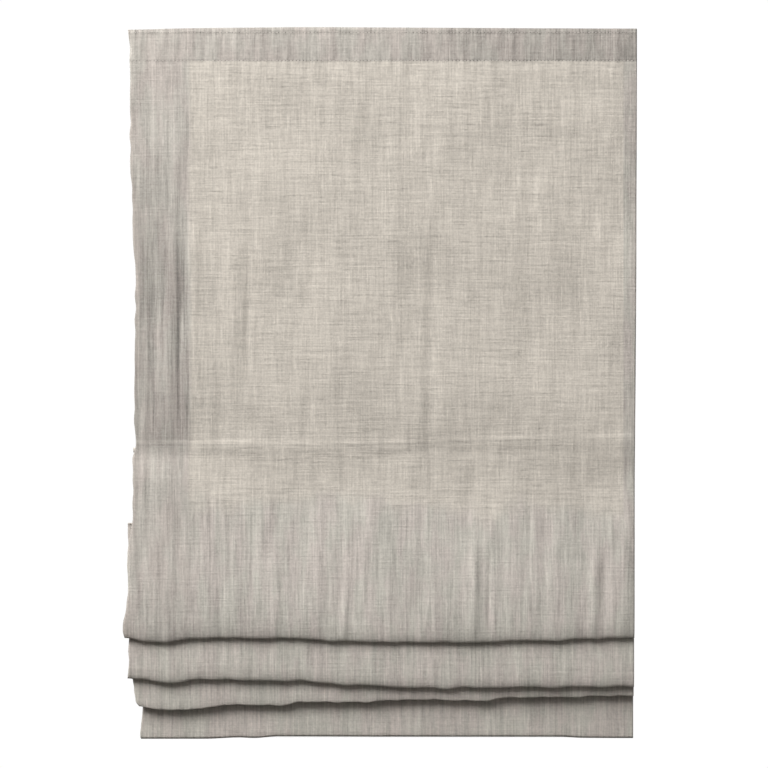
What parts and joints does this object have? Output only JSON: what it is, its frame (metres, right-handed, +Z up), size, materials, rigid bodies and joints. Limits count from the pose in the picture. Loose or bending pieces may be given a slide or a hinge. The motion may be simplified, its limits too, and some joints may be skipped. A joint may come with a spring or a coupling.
{
  "type": "roman blind",
  "caption": "Part-raised natural linen roman blind: stiffened folded cloth on a cord-lifted, chain-driven aluminium headrail with swivel-lock brackets.",
  "frame": {"origin": "midpoint between the two wall screw holes, on the wall plane at the back of the brackets", "axes": "+X along the blind to the right as seen from the room, +Y into the wall, +Z up"},
  "size_m": [0.509, 0.047, 0.712],
  "materials": {
    "linen": "natural plain-weave linen with slubs",
    "touch_tape": "hook and loop tape",
    "pocket_tape": "woven tape",
    "cord": "braided polyester",
    "rod": "pultruded glass fibre",
    "ring": "moulded",
    "moulding": "moulded",
    "lever_plastic": "moulded",
    "rail_paint": "satin powder coat on extruded aluminium",
    "plated_steel": "zinc plated",
    "shaft_metal": "mill finish"
  },
  "bodies": {
    "rail": {"headrail": "rail_paint", "hook_tape": "touch_tape", "loop_tape": "touch_tape", "end_cap": "moulding", "chain_housing": "moulding", "chain_cover": "moulding", "cover_screws": "plated_steel", "brake_spring": "plated_steel", "cradle_left": "moulding", "cradle_right": "moulding", "bracket_left": "plated_steel", "bracket_right": "plated_steel", "lever_rivet_left": "plated_steel", "lever_rivet_right": "plated_steel", "front_panel": "linen", "rod_1": "rod", "rod_pocket_1": "pocket_tape", "ring_1_left": "ring", "ring_1_right": "ring", "lift_cord_left": "cord", "lift_cord_right": "cord"},
    "cord_shaft": {"shaft": "shaft_metal", "end_bush": "moulding", "spool_left": "moulding", "spool_right": "moulding", "cord_turns_left": "cord", "cord_turns_right": "cord", "chain_wheel": "moulding"},
    "upper_fold": {"upper_fold_cloth": "linen", "rod_2": "rod", "rod_pocket_2": "pocket_tape", "ring_2_left": "ring", "ring_2_right": "ring"},
    "middle_fold": {"middle_fold_cloth": "linen", "rod_3": "rod", "rod_pocket_3": "pocket_tape", "ring_3_left": "ring", "ring_3_right": "ring"},
    "bottom_section": {"bottom_cloth": "linen", "rod_4": "rod", "rod_pocket_4": "pocket_tape", "ring_4_left": "ring", "ring_4_right": "ring", "cord_orb_left": "ring", "cord_orb_right": "ring", "weight_bar": "shaft_metal"},
    "left_lever": {"lock_lever_left": "lever_plastic"},
    "right_lever": {"lock_lever_right": "lever_plastic"}
  },
  "joints": [
    {"name": "lower_upper_fold", "type": "slide", "parent": "rail", "child": "upper_fold", "axis": [0, 0, 1], "range_m": [-0.232, 0], "deforming": ["lift_cord_left", "lift_cord_right"]},
    {"name": "lower_middle_fold", "type": "slide", "parent": "upper_fold", "child": "middle_fold", "axis": [0, 0, 1], "range_m": [-0.287, 0]},
    {"name": "lower_last_fold", "type": "slide", "parent": "middle_fold", "child": "bottom_section", "axis": [0, 0, 1], "range_m": [-0.287, 0]},
    {"name": "shaft_turn", "type": "hinge", "parent": "rail", "child": "cord_shaft", "pos_m": [0, -0.02283, -0.001], "axis": [1, 0, 0], "range_deg": [0, 5338]},
    {"name": "left_lever_swivel", "type": "hinge", "parent": "rail", "child": "left_lever", "pos_m": [-0.205, -0.02, 0.0147], "axis": [0, 0, 1], "range_deg": [0, 90]},
    {"name": "right_lever_swivel", "type": "hinge", "parent": "rail", "child": "right_lever", "pos_m": [0.205, -0.02, 0.0147], "axis": [0, 0, 1], "range_deg": [0, 90]}
  ],
  "couplings": [
    {"joint": "lower_middle_fold", "follows": "lower_upper_fold", "ratio": 1.2363},
    {"joint": "lower_last_fold", "follows": "lower_upper_fold", "ratio": 1.2363},
    {"joint": "shaft_turn", "follows": "lower_upper_fold", "rad_per_m": -401.45}
  ]
}
